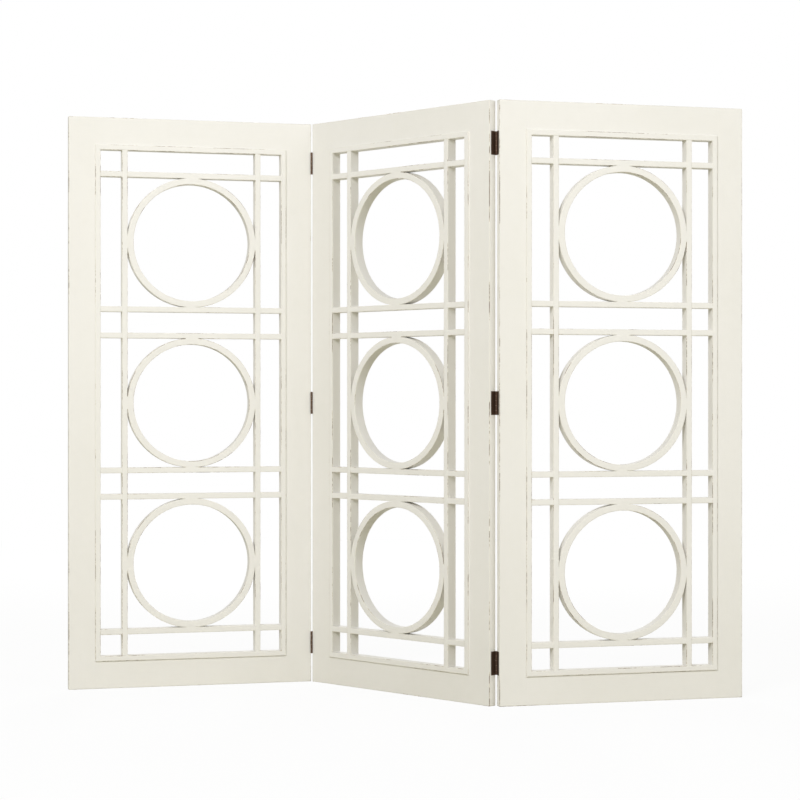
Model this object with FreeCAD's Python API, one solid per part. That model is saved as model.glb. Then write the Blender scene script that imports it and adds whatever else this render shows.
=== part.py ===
# Folding room divider: three painted wooden panels joined by butt hinges, standing in a zigzag.
#
# Each panel is a mortised frame of two stiles and two rails. A mitred lining goes round the opening
# and stands proud of both faces. Inside it lies open fretwork: two uprights and six crossbars,
# half-lapped where they cross, and three rings let into the bars that they touch. The uprights are
# tenoned into the lining, and the crossbars are held by their laps and butt against its sides.
# Knuckles, screws and their holes are small and many, so they have a few flat sides.
#
# All lengths are in millimetres. The origin is on the floor under the centre of the middle panel,
# +Z points up, +X runs along the left and right panels and -Y is the front. A panel is first built
# in its own frame, with X across it, its front face towards -Y and its centre line at X = 0.

import FreeCAD
import Part

import math
import os

# Frame of a panel
STILE_WIDTH = 82.0
RAIL_WIDTH = 85.0
FRAME_THICKNESS = 26.0
FRAME_EASE = 1.5            # arrises on the outside of the frame are taken off by this much
TENON_LENGTH = 45.0         # rail tenons in the stiles
TENON_THICKNESS = 9.0
TENON_SHOULDER = 14.0       # from the rail's edge to the tenon's
MORTISE_SPARE = 1.0         # room for glue at the bottom of each mortise

# Lining around the opening
LINING_WIDTH = 16.0
LINING_PROUD = 4.0          # stands out from each face of the frame
LINING_EASE = 1.0

# Fretwork
BAR_WIDTH = 17.0
SIDE_GAP = 67.0             # lining to upright
END_GAP = 66.0              # lining to the first and last crossbar
PAIR_GAP = 65.0             # between the two crossbars of a pair
STUB_LENGTH = 9.0           # stub tenons of the uprights in the lining
STUB_THICKNESS = 12.0
STUB_SHOULDER = 4.0
RING_DIAMETER = 406.0
RING_BAND = 19.5
RING_LET_IN = 1.0           # how deep a ring is let into each bar that it touches
RINGS_PER_PANEL = 3

# Butt hinges
HINGES_PER_FOLD = 3
HINGE_LENGTH = 70.0
HINGE_INSET = 125.0         # centre of an end hinge to the end of the panel
LEAF_THICKNESS = 1.5
LEAF_SETBACK = 7.0          # from the far edge of the leaf to the far face of the frame
LEAF_FIT = 0.1              # room between the leaf's edges and its gain
KNUCKLE_DIAMETER = 6.0      # across its corners
KNUCKLES_PER_HINGE = 5
KNUCKLE_SIDES = 10
BORE_SIDES = 5
KNUCKLE_CLEARANCE = 0.2     # between neighbouring knuckles along the pin
SWING_CLEARANCE = 0.3       # between a knuckle and the leaf that turns round it
PIN_DIAMETER = 3.0
PIN_RUNNING_CLEARANCE = 0.05
PANEL_GAP = 1.5             # between two panels when they lie flat in one line
PIVOT_OFFSET = 3.2          # from the face of the frame to the centre of the pin

# Countersunk hinge screws
SCREWS_PER_LEAF = 2
SCREW_PITCH = 42.0
SCREW_STAGGER = 5.0         # neighbouring screws lie this far apart across the leaf
SCREW_LENGTH = 15.0
SCREW_DIAMETER = 3.0        # across its corners
SCREW_HEAD_DIAMETER = 6.0
SCREW_SIDES = 6

# Stance
FOLD_ANGLE = 60.0           # turn of the middle panel out of line with its neighbours

OVERRUN = 5.0               # how far a cutting solid runs past what it cuts

# Sizes that follow from those above
LATTICE_DEPTH = FRAME_THICKNESS + 2 * LINING_PROUD
RING_FIELD = RING_DIAMETER - 2 * RING_LET_IN
HALF_OPENING = RING_FIELD / 2 + BAR_WIDTH + SIDE_GAP
HALF_WIDTH = HALF_OPENING + LINING_WIDTH + STILE_WIDTH
OPENING_BOTTOM = RAIL_WIDTH + LINING_WIDTH
OPENING_HEIGHT = (2 * END_GAP + (RINGS_PER_PANEL - 1) * PAIR_GAP + 2 * RINGS_PER_PANEL * BAR_WIDTH
                  + RINGS_PER_PANEL * RING_FIELD)
PANEL_HEIGHT = OPENING_HEIGHT + 2 * OPENING_BOTTOM
UPRIGHT_CENTRE = RING_FIELD / 2 + BAR_WIDTH / 2
LEAF_REACH = FRAME_THICKNESS - LEAF_SETBACK
PIVOT_X = HALF_WIDTH + PANEL_GAP / 2
PIVOT_Y = FRAME_THICKNESS / 2 + PIVOT_OFFSET

UP = FreeCAD.Vector(0, 0, 1)
THROUGH = FreeCAD.Vector(0, 1, 0)
CENTRE = FreeCAD.Vector(0, 0, 0)
FRONT = -1
BACK = 1
LEFT = -1
RIGHT = 1
BOTTOM = -1
TOP = 1
SIDE_NAMES = {LEFT: "left", RIGHT: "right"}
END_NAMES = {BOTTOM: "bottom", TOP: "top"}


def block(x_range, y_range, z_range):
    """Rectangular solid between two places on each axis, given in any order."""
    low = FreeCAD.Vector(min(x_range), min(y_range), min(z_range))
    high = FreeCAD.Vector(max(x_range), max(y_range), max(z_range))
    size = high - low
    return Part.makeBox(size.x, size.y, size.z, low)


def around(centre, width):
    """The two ends of a width laid evenly about its centre."""
    return (centre - width / 2, centre + width / 2)


def turned(point, degrees):
    """A point turned about the Z axis."""
    return FreeCAD.Rotation(UP, degrees).multVec(point)


def regular_outline(sides, radius, height):
    """Corners of a regular outline about the Z axis, at a radius."""
    corner = FreeCAD.Vector(radius, 0, 0)
    step = 360 / sides
    return [turned(corner, step * (index + 0.5)) + UP * height for index in range(sides)]


def flat_face(points):
    """Flat face with the given corners."""
    return Part.Face(Part.makePolygon(points + points[:1]))


def prism(sides, radius, z_range):
    """Upright regular prism about the Z axis, with its corners at a radius."""
    outline = regular_outline(sides, radius, z_range[0])
    return flat_face(outline).extrude(UP * (z_range[1] - z_range[0]))


def corner_radius(sides, flat_radius):
    """Radius at the corners of a regular outline whose flats lie at the given radius."""
    return flat_radius / math.cos(math.pi / sides)


def edges_where(shape, test):
    """Edges of a shape whose middle point passes a test."""
    return [edge for edge in shape.Edges if test(edge.CenterOfMass)]


def near(value, target):
    """True where two places coincide but for rounding."""
    return math.isclose(value, target, abs_tol=Part.Precision.confusion())


def pitch_positions(count, pitch, centre):
    """Places of a row of things that are spaced evenly about a centre."""
    first = centre - pitch * (count - 1) / 2
    return [first + pitch * index for index in range(count)]


def crossbar_heights():
    """Centre height of each crossbar of a panel, from the bottom up."""
    heights = []
    lower_edge = OPENING_BOTTOM + END_GAP
    for _ in range(RINGS_PER_PANEL):
        heights.append(lower_edge + BAR_WIDTH / 2)
        heights.append(lower_edge + BAR_WIDTH + RING_FIELD + BAR_WIDTH / 2)
        lower_edge += 2 * BAR_WIDTH + RING_FIELD + PAIR_GAP
    return heights


def ring_heights():
    """Centre height of each ring of a panel, from the bottom up."""
    bars = crossbar_heights()
    return [(bars[2 * index] + bars[2 * index + 1]) / 2 for index in range(RINGS_PER_PANEL)]


def hinge_heights():
    """Centre height of each hinge of a fold, from the bottom up."""
    pitch = (PANEL_HEIGHT - 2 * HINGE_INSET) / (HINGES_PER_FOLD - 1)
    return pitch_positions(HINGES_PER_FOLD, pitch, PANEL_HEIGHT / 2)


def rail_range(end):
    """Height range of the bottom or top rail."""
    bottom = 0 if end == BOTTOM else PANEL_HEIGHT - RAIL_WIDTH
    return (bottom, bottom + RAIL_WIDTH)


def tenon_block(side, end, length):
    """Tenon of a rail, from its shoulder into the stile on one side."""
    shoulder = side * (HALF_WIDTH - STILE_WIDTH)
    low, high = rail_range(end)
    return block((shoulder, shoulder + side * length), around(0, TENON_THICKNESS),
                 (low + TENON_SHOULDER, high - TENON_SHOULDER))


def make_stile(side):
    """Full-height side member of the frame, mortised for both rails, with its outer arrises eased."""
    outer = side * HALF_WIDTH
    stile = block((outer, outer - side * STILE_WIDTH), around(0, FRAME_THICKNESS), (0, PANEL_HEIGHT))

    def is_outer_arris(middle):
        on_face = near(abs(middle.y), FRAME_THICKNESS / 2)
        on_end = near(middle.z, 0) or near(middle.z, PANEL_HEIGHT)
        on_edge = near(middle.x, outer)
        return [on_face, on_end, on_edge].count(True) == 2

    stile = stile.makeChamfer(FRAME_EASE, edges_where(stile, is_outer_arris))
    return stile.cut([tenon_block(side, end, TENON_LENGTH + MORTISE_SPARE) for end in (BOTTOM, TOP)])


def make_rail(end):
    """Cross member of the frame with a tenon at each end, its outer long arrises eased."""
    low, high = rail_range(end)
    rail = block(around(0, 2 * (HALF_WIDTH - STILE_WIDTH)), around(0, FRAME_THICKNESS), (low, high))
    outer = low if end == BOTTOM else high

    def is_outer_arris(middle):
        return near(abs(middle.y), FRAME_THICKNESS / 2) and near(middle.z, outer)

    rail = rail.makeChamfer(FRAME_EASE, edges_where(rail, is_outer_arris))
    tenons = [tenon_block(side, end, TENON_LENGTH) for side in (LEFT, RIGHT)]
    return rail.fuse(tenons).removeSplitter()


def mitred_piece(inner_a, inner_b, outer_b, outer_a):
    """One side of the lining: its mitred front outline carried through its depth, arrises eased."""
    start = FreeCAD.Vector(0, -LATTICE_DEPTH / 2, 0)
    outline = [start + FreeCAD.Vector(x, 0, z) for x, z in (inner_a, inner_b, outer_b, outer_a)]
    piece = flat_face(outline).extrude(THROUGH * LATTICE_DEPTH)
    along = max(abs(inner_b[0] - inner_a[0]), abs(inner_b[1] - inner_a[1]))
    long_edges = [edge for edge in piece.Edges if edge.Length > along - LINING_WIDTH]
    return piece.makeChamfer(LINING_EASE, long_edges)


def stub_block(side, end, length):
    """Stub tenon of an upright in the bottom or top lining, or the mortise for it."""
    start = OPENING_BOTTOM if end == BOTTOM else OPENING_BOTTOM + OPENING_HEIGHT
    return block(around(side * UPRIGHT_CENTRE, BAR_WIDTH - 2 * STUB_SHOULDER),
                 around(0, STUB_THICKNESS), (start, start + end * length))


def make_side_lining(side):
    """Upright piece of the lining on one side of the opening."""
    inner, outer = side * HALF_OPENING, side * (HALF_OPENING + LINING_WIDTH)
    top_inner = OPENING_BOTTOM + OPENING_HEIGHT
    return mitred_piece((inner, OPENING_BOTTOM), (inner, top_inner),
                        (outer, top_inner + LINING_WIDTH), (outer, RAIL_WIDTH))


def make_end_lining(end):
    """Level piece of the lining at the bottom or top, mortised for the uprights."""
    inner = OPENING_BOTTOM if end == BOTTOM else OPENING_BOTTOM + OPENING_HEIGHT
    outer = inner + end * LINING_WIDTH
    piece = mitred_piece((-HALF_OPENING, inner), (HALF_OPENING, inner),
                         (HALF_OPENING + LINING_WIDTH, outer), (-HALF_OPENING - LINING_WIDTH, outer))
    return piece.cut([stub_block(side, end, STUB_LENGTH + MORTISE_SPARE) for side in (LEFT, RIGHT)])


def make_ring(height):
    """Ring of the fretwork: a flat band turned about the axis through the panel."""
    outer = RING_DIAMETER / 2
    corners = [(outer - RING_BAND, FRONT), (outer, FRONT), (outer, BACK), (outer - RING_BAND, BACK)]
    section = [FreeCAD.Vector(radius, face * LATTICE_DEPTH / 2, height) for radius, face in corners]
    return flat_face(section).revolve(FreeCAD.Vector(0, 0, height), THROUGH, 360)


def ring_seats():
    """Discs of the rings' outline, which take their seats out of the bars."""
    return [Part.makeCylinder(RING_DIAMETER / 2, LATTICE_DEPTH,
                              FreeCAD.Vector(0, -LATTICE_DEPTH / 2, height), THROUGH)
            for height in ring_heights()]


def make_upright(side):
    """Upright bar of the fretwork, notched from the back for every crossbar."""
    place = side * UPRIGHT_CENTRE
    opening = (OPENING_BOTTOM, OPENING_BOTTOM + OPENING_HEIGHT)
    bar = block(around(place, BAR_WIDTH), around(0, LATTICE_DEPTH), opening)
    bar = bar.fuse([stub_block(side, end, STUB_LENGTH) for end in (BOTTOM, TOP)]).removeSplitter()
    notches = [block(around(place, BAR_WIDTH + 2 * OVERRUN), (0, LATTICE_DEPTH / 2 + OVERRUN),
                     around(height, BAR_WIDTH)) for height in crossbar_heights()]
    return bar.cut(notches + ring_seats())


def make_crossbar(height):
    """Crossbar of the fretwork, notched from the front for both uprights."""
    bar = block(around(0, 2 * HALF_OPENING), around(0, LATTICE_DEPTH), around(height, BAR_WIDTH))
    notches = [block(around(side * UPRIGHT_CENTRE, BAR_WIDTH), (0, -LATTICE_DEPTH / 2 - OVERRUN),
                     around(height, BAR_WIDTH + 2 * OVERRUN)) for side in (LEFT, RIGHT)]
    return bar.cut(notches + ring_seats())


def knuckle_ranges(first):
    """Height ranges, about the hinge's centre, of every second knuckle from the given one."""
    pitch = (HINGE_LENGTH + KNUCKLE_CLEARANCE) / KNUCKLES_PER_HINGE
    bottom = -HINGE_LENGTH / 2
    return [(bottom + pitch * index, bottom + pitch * (index + 1) - KNUCKLE_CLEARANCE)
            for index in range(first, KNUCKLES_PER_HINGE, 2)]


def make_screw():
    """Countersunk screw along +X, its flat head at the origin, with flat sides all round."""
    head, shank = SCREW_HEAD_DIAMETER / 2, SCREW_DIAMETER / 2
    stations = ((head, 0), (shank, head - shank), (shank, SCREW_LENGTH))
    outlines = [regular_outline(SCREW_SIDES, radius, place) for radius, place in stations]
    faces = [flat_face(outlines[0]), flat_face(outlines[-1])]
    for low, high in zip(outlines, outlines[1:]):
        for index in range(SCREW_SIDES):
            following = (index + 1) % SCREW_SIDES
            faces.append(flat_face([low[index], low[following], high[following], high[index]]))
    screw = Part.Solid(Part.Shell(faces))
    screw.rotate(CENTRE, THROUGH, 90)
    return screw


def leaf_screws(side, face):
    """Screws of one leaf, about the pin's centre, driven square into the edge of the stile."""
    screws = []
    middle = PIVOT_OFFSET + LEAF_REACH / 2
    for index, height in enumerate(pitch_positions(SCREWS_PER_LEAF, SCREW_PITCH, 0)):
        screw = make_screw()
        if side == RIGHT:
            screw.rotate(CENTRE, UP, 180)
        depth = middle + SCREW_STAGGER / 2 * (1 if index % 2 else -1)
        screw.translate(FreeCAD.Vector(-side * PANEL_GAP / 2, -face * depth, height))
        screws.append(screw)
    return screws


def leaf_plate(side, face, room):
    """Flat part of a leaf in the edge of the stile, or with room around it the gain for it."""
    near_edge = -face * (PIVOT_OFFSET - OVERRUN if room else 0)
    far_edge = -face * (PIVOT_OFFSET + LEAF_REACH + room)
    return block((-side * PANEL_GAP / 2, -side * (PANEL_GAP / 2 + LEAF_THICKNESS)),
                 (near_edge, far_edge), around(0, HINGE_LENGTH + 2 * room))


def make_leaf(side, face, first_knuckle, bore_radius):
    """Hinge leaf about the pin's centre: plate, every second knuckle and countersunk holes."""
    outer = KNUCKLE_DIAMETER / 2
    notch = outer + SWING_CLEARANCE
    notches = [block(around(0, 2 * notch), (-notch, notch),
                     (low - KNUCKLE_CLEARANCE, high + KNUCKLE_CLEARANCE))
               for low, high in knuckle_ranges(1 - first_knuckle)]
    knuckles = [prism(KNUCKLE_SIDES, outer, limits) for limits in knuckle_ranges(first_knuckle)]
    bore = prism(BORE_SIDES, corner_radius(BORE_SIDES, bore_radius), around(0, HINGE_LENGTH))
    leaf = leaf_plate(side, face, 0).cut(notches)
    return leaf.fuse(knuckles).removeSplitter().cut([bore] + leaf_screws(side, face))


def make_pin():
    """Round hinge pin about its own centre."""
    return Part.makeCylinder(PIN_DIAMETER / 2, HINGE_LENGTH, UP * (-HINGE_LENGTH / 2))


def at_hinges(shapes, side, face):
    """Copies of shapes made about the pin's centre, set at each hinge of one edge of a panel."""
    copies = []
    for height in hinge_heights():
        for shape in shapes:
            copy = shape.copy()
            copy.translate(FreeCAD.Vector(side * PIVOT_X, face * PIVOT_Y, height))
            copies.append(copy)
    return copies


def gain_cuts(side, face):
    """Everything that is cut from a stile for the hinges on one edge of a panel."""
    return at_hinges([leaf_plate(side, face, LEAF_FIT)] + leaf_screws(side, face), side, face)


def make_panel(name, hinged):
    """Wooden pieces of one panel by node name. hinged maps a side to the face with the pins."""
    nodes = {}
    for side, side_name in SIDE_NAMES.items():
        stile = make_stile(side)
        if side in hinged:
            stile = stile.cut(gain_cuts(side, hinged[side]))
        nodes[f"{name}_{side_name}_stile"] = [stile]
        nodes[f"{name}_{side_name}_lining"] = [make_side_lining(side)]
        nodes[f"{name}_{side_name}_upright"] = [make_upright(side)]
    for end, end_name in END_NAMES.items():
        nodes[f"{name}_{end_name}_rail"] = [make_rail(end)]
        nodes[f"{name}_{end_name}_lining"] = [make_end_lining(end)]
    for index, height in enumerate(crossbar_heights()):
        nodes[f"{name}_crossbar_{index + 1}"] = [make_crossbar(height)]
    nodes[f"{name}_rings"] = [make_ring(height) for height in ring_heights()]
    return nodes


def make_turning_hardware(name, side, face):
    """Leaves and screws on the hinged edge of an outer panel, which turn on the pins."""
    leaf = make_leaf(side, face, 1, PIN_DIAMETER / 2 + PIN_RUNNING_CLEARANCE)
    return {f"{name}_hinge_leaves": at_hinges([leaf], side, face),
            f"{name}_hinge_screws": at_hinges(leaf_screws(side, face), side, face)}


def make_middle_hardware(name, hinged):
    """Leaves, screws and pins of the middle panel, whose leaves grip the pins."""
    nodes = {"hinge_pins": [], f"{name}_hinge_screws": []}
    for side, face in hinged.items():
        leaf = make_leaf(side, face, 0, PIN_DIAMETER / 2)
        nodes[f"{name}_{SIDE_NAMES[side]}_hinge_leaves"] = at_hinges([leaf], side, face)
        nodes[f"{name}_hinge_screws"] += at_hinges(leaf_screws(side, face), side, face)
        nodes["hinge_pins"] += at_hinges([make_pin()], side, face)
    return nodes


def place_nodes(nodes, centre, degrees):
    """Turn every solid of a panel about its own centre line and set it in the shared frame."""
    for solids in nodes.values():
        for solid in solids:
            solid.rotate(CENTRE, UP, degrees)
            solid.translate(centre)
    return nodes


def fold_centre(side, face):
    """Place of the pins on one edge of the middle panel, in the shared frame."""
    return turned(FreeCAD.Vector(side * PIVOT_X, face * PIVOT_Y, 0), -FOLD_ANGLE)


def closing_angle():
    """How far a panel can fold towards the middle one before the proud linings touch."""
    short_of_parallel = math.degrees(2 * (LINING_PROUD - PIVOT_OFFSET) / (STILE_WIDTH + PANEL_GAP / 2))
    return 180 - FOLD_ANGLE - short_of_parallel


def make_divider():
    """Every node of the divider in the shared frame."""
    hinged = {LEFT: FRONT, RIGHT: BACK}
    middle = make_panel("middle_panel", hinged)
    middle.update(make_middle_hardware("middle_panel", hinged))
    nodes = place_nodes(middle, CENTRE, -FOLD_ANGLE)
    for side, face in hinged.items():
        name = f"{SIDE_NAMES[side]}_panel"
        panel = make_panel(name, {-side: face})
        panel.update(make_turning_hardware(name, -side, face))
        own_pivot = FreeCAD.Vector(-side * PIVOT_X, face * PIVOT_Y, 0)
        nodes.update(place_nodes(panel, fold_centre(side, face) - own_pivot, 0))
    return nodes


def main():
    """Build the divider, write one file per node and print its main places."""
    os.makedirs("parts", exist_ok=True)
    nodes = make_divider()
    for name, solids in nodes.items():
        shape = solids[0] if len(solids) == 1 else Part.makeCompound(solids)
        if not shape.isValid():
            raise ValueError(f"{name} is not a valid shape")
        shape.exportStep(os.path.join("parts", f"{name}.step"))
    bounds = Part.makeCompound([solid for solids in nodes.values() for solid in solids]).BoundBox
    print("nodes", len(nodes), "solids", sum(len(solids) for solids in nodes.values()))
    print("box", bounds.XMin, bounds.XMax, bounds.YMin, bounds.YMax, bounds.ZMin, bounds.ZMax)
    print("panel", 2 * HALF_WIDTH, "by", PANEL_HEIGHT)
    print("left fold", fold_centre(LEFT, FRONT), "right fold", fold_centre(RIGHT, BACK))
    print("folds closed after", closing_angle(), "degrees")


main()
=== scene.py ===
"""Folding room divider: painted wooden panels, bronze butt hinges, a plain studio."""

import logging
import math
import random
from dataclasses import dataclass
from enum import Enum
from typing import Callable, Iterable, Sequence, Union

import bmesh
import bpy
from bmesh.types import BMEdge, BMFace, BMVert
from mathutils import Matrix, Vector


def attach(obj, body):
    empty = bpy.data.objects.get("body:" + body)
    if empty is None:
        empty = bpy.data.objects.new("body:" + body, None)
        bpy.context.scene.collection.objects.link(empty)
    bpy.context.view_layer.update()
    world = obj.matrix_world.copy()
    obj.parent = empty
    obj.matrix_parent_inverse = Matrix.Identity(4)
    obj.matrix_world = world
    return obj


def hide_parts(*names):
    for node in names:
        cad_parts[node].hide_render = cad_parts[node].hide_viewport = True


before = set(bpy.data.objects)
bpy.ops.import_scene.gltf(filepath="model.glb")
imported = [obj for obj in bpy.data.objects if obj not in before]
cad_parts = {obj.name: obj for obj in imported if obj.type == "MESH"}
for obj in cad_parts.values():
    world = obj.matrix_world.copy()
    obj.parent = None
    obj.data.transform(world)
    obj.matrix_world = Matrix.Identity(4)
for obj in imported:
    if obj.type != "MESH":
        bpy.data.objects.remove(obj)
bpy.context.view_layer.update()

log = logging.getLogger("divider")

Colour = tuple[float, float, float]
Triple = tuple[float, float, float]
Range = tuple[float, float]
Point = tuple[float, float]                     # on an outline or a section
EdgeTest = Callable[[Vector, BMEdge], bool]     # given an edge's middle and the edge
GrainRule = Callable[[Vector, Vector], Vector]  # given a face's middle and one of its corners

X_AXIS = Vector((1.0, 0.0, 0.0))
Y_AXIS = Vector((0.0, 1.0, 0.0))
Z_AXIS = Vector((0.0, 0.0, 1.0))
ORIGIN = Vector((0.0, 0.0, 0.0))
WHITE: Colour = (1.0, 1.0, 1.0)
LAMP_TINT: Colour = (0.963, 0.970, 1.0)
SAME = 1.0e-4               # two places closer than this count as one
TOUCH = 1.0e-5              # a cut this close to a corner goes through it
MERGE = 1.0e-6              # corners closer than this are merged
ALONG = 0.99                # least share of a unit normal that lies along its own axis
ACROSS = 0.10               # least share that counts as leaning towards another axis
MITRED = 0.60               # least share along each of two axes on a mitre's face
MIX_FIRST, MIX_SECOND, MIXED = 6, 7, 2      # the colour sockets of a Mix node
SMOOTH_BELOW = math.radians(36.0)
CREASED_ABOVE = math.radians(60.0)
QUARTER_TURN = math.radians(90.0)
FOLD = math.radians(60.0)   # how far out of line each fold stands at rest
SEED = 7
ARRIS = "arris"             # attribute: 1 on a rounded arris, 0 a few millimetres away from it
SHOULDER = 0.80             # its value where the rounding meets a flat
GRAIN = "grain"             # attribute: place in metres along, across and through a piece
PATTERN_REACH = 20.0        # the pieces' own patterns start within this length, in metres


class Side(Enum):
    """The two long sides of a panel, by the sign of its X axis."""

    LEFT = -1
    RIGHT = 1


class Face(Enum):
    """The two faces of a panel, by the sign of its Y axis."""

    FRONT = -1
    BACK = 1


class End(Enum):
    """The two ends of a panel, by the sign of its Z axis."""

    BOTTOM = -1
    TOP = 1


# Shader maths and materials

Input = Union[float, tuple[float, ...], "Signal"]     # what a socket can be fed with


class Signal:
    """A node socket whose arithmetic adds the nodes that it needs."""

    def __init__(self, nodes: "Nodes", socket: bpy.types.NodeSocket) -> None:
        """Wrap the output socket of one of the nodes."""
        self.nodes = nodes
        self.socket = socket

    def _maths(self, operation: str, first: Input, second: Input = 0.0) -> "Signal":
        """Result of a Math node that is fed with two values or links."""
        return self.nodes.node("ShaderNodeMath", {"operation": operation}, {0: first, 1: second})

    def __add__(self, other: Input) -> "Signal":
        """Sum of this signal and a value or signal."""
        return self._maths("ADD", self, other)

    __radd__ = __add__

    def __mul__(self, other: Input) -> "Signal":
        """Product of this signal and a value or signal."""
        return self._maths("MULTIPLY", self, other)

    __rmul__ = __mul__

    def __sub__(self, other: Input) -> "Signal":
        """This signal less a value or signal."""
        return self._maths("SUBTRACT", self, other)

    def __rsub__(self, other: Input) -> "Signal":
        """A value less this signal."""
        return self._maths("SUBTRACT", other, self)

    def greatest(self, other: Input) -> "Signal":
        """Larger of this signal and a value or signal."""
        return self._maths("MAXIMUM", self, other)

    def ramp(self, low: float, high: float) -> "Signal":
        """Mask that rises smoothly from 0 where the signal is low to 1 where it is high."""
        return self.nodes.node("ShaderNodeMapRange", {"interpolation_type": "SMOOTHSTEP"},
                               {"Value": self, "From Min": low, "From Max": high})


class Nodes:
    """Nodes of a material or of the world, and the one way to add to them."""

    def __init__(self, tree: bpy.types.NodeTree, output: str) -> None:
        """Start with nothing but the output.

        Args:
            tree: Tree that holds the nodes.
            output: Type of its output node.
        """
        self.tree = tree
        self.tree.nodes.clear()
        self.output = self.tree.nodes.new(output)

    def node(self, kind: str, settings: dict[str, object], sockets: dict[object, Input],
             output: Union[int, str] = 0) -> Signal:
        """Add one node.

        Args:
            kind: The node's type.
            settings: Properties of the node, set before its sockets.
            sockets: Values or links for its inputs, by name or number.
            output: Name or number of the output to use.

        Returns:
            That output.
        """
        made = self.tree.nodes.new(kind)
        for key, value in settings.items():
            setattr(made, key, value)
        for key, value in sockets.items():
            self.feed(made.inputs[key], value)
        return Signal(self, made.outputs[output])

    def feed(self, socket: bpy.types.NodeSocket, value: Input) -> None:
        """Link a signal to an input, or set its value.

        Args:
            socket: Input socket.
            value: Signal, number or colour.
        """
        if isinstance(value, Signal):
            self.tree.links.new(value.socket, socket)
        elif isinstance(value, tuple) and socket.type == "RGBA":
            socket.default_value = (*value, 1.0)
        else:
            socket.default_value = value

    def seen(self) -> Signal:
        """1 for a ray from the camera, a glossy surface or glass, and 0 for any other."""
        camera, glossy, glass = (self.node("ShaderNodeLightPath", {}, {}, f"Is {kind} Ray")
                                 for kind in ("Camera", "Glossy", "Transmission"))
        return camera.greatest(glossy).greatest(glass)

    def show(self, mask: Input, first: Signal, second: Signal) -> None:
        """Send a mix of two shaders to the output, the first where the mask is 0."""
        mixed = self.node("ShaderNodeMixShader", {}, {"Fac": mask, 1: first, 2: second})
        self.feed(self.output.inputs["Surface"], mixed)


@dataclass(frozen=True)
class Pattern:
    """Noise, and the two ends between which it rises as a mask."""

    scale: float = 1.0          # features per metre, or per unit of a stretched place
    octaves: float = 2.0
    rough: float = 0.5          # strength of each finer octave
    ends: Range = (0.0, 1.0)


class Shader(Nodes):
    """Material with a Principled surface."""

    def __init__(self, name: str) -> None:
        """Make the material.

        Args:
            name: Name of the material.
        """
        self.material = bpy.data.materials.new(name)
        self.material.use_nodes = True
        super().__init__(self.material.node_tree, "ShaderNodeOutputMaterial")
        self.principled = self.node("ShaderNodeBsdfPrincipled", {}, {})
        self.feed(self.output.inputs["Surface"], self.principled)

    def set(self, **values: Input) -> None:
        """Set or link sockets of the surface, with underscores for the spaces in their names."""
        for key, value in values.items():
            self.feed(self.principled.socket.node.inputs[key.replace("_", " ")], value)

    def place(self) -> Signal:
        """Place in the object's own space, in metres."""
        return self.node("ShaderNodeTexCoord", {}, {}, "Object")

    def attribute(self, name: str, output: str) -> Signal:
        """Attribute of the mesh, by its name and the node's output to use."""
        return self.node("ShaderNodeAttribute", {"attribute_name": name}, {}, output)

    def stretched(self, place: Signal, scale: Triple) -> Signal:
        """A place scaled by a factor along each axis."""
        return self.node("ShaderNodeVectorMath", {"operation": "MULTIPLY"}, {0: place, 1: scale})

    def noise(self, place: Signal, pattern: Pattern) -> Signal:
        """Noise of a pattern, from 0 to 1, read at a place."""
        return self.node("ShaderNodeTexNoise", {}, {"Vector": place, "Scale": pattern.scale,
                         "Detail": pattern.octaves, "Roughness": pattern.rough})

    def mask(self, place: Signal, pattern: Pattern) -> Signal:
        """Noise of a pattern, raised to a mask between its two ends."""
        return self.noise(place, pattern).ramp(*pattern.ends)

    def blend(self, mask: Input, first: Input, second: Input) -> Signal:
        """Mix of two colours, the first where the mask is 0 and the second where it is 1."""
        return self.node("ShaderNodeMix", {"data_type": "RGBA"},
                         {"Factor": mask, MIX_FIRST: first, MIX_SECOND: second}, MIXED)

    def relief(self, height: Signal, depth: float) -> None:
        """Feed a height to the surface's normal, with the depth in metres that 1 stands for."""
        sockets = {"Strength": 1.0, "Distance": depth, "Height": height}
        self.set(Normal=self.node("ShaderNodeBump", {}, sockets, "Normal"))


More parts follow.
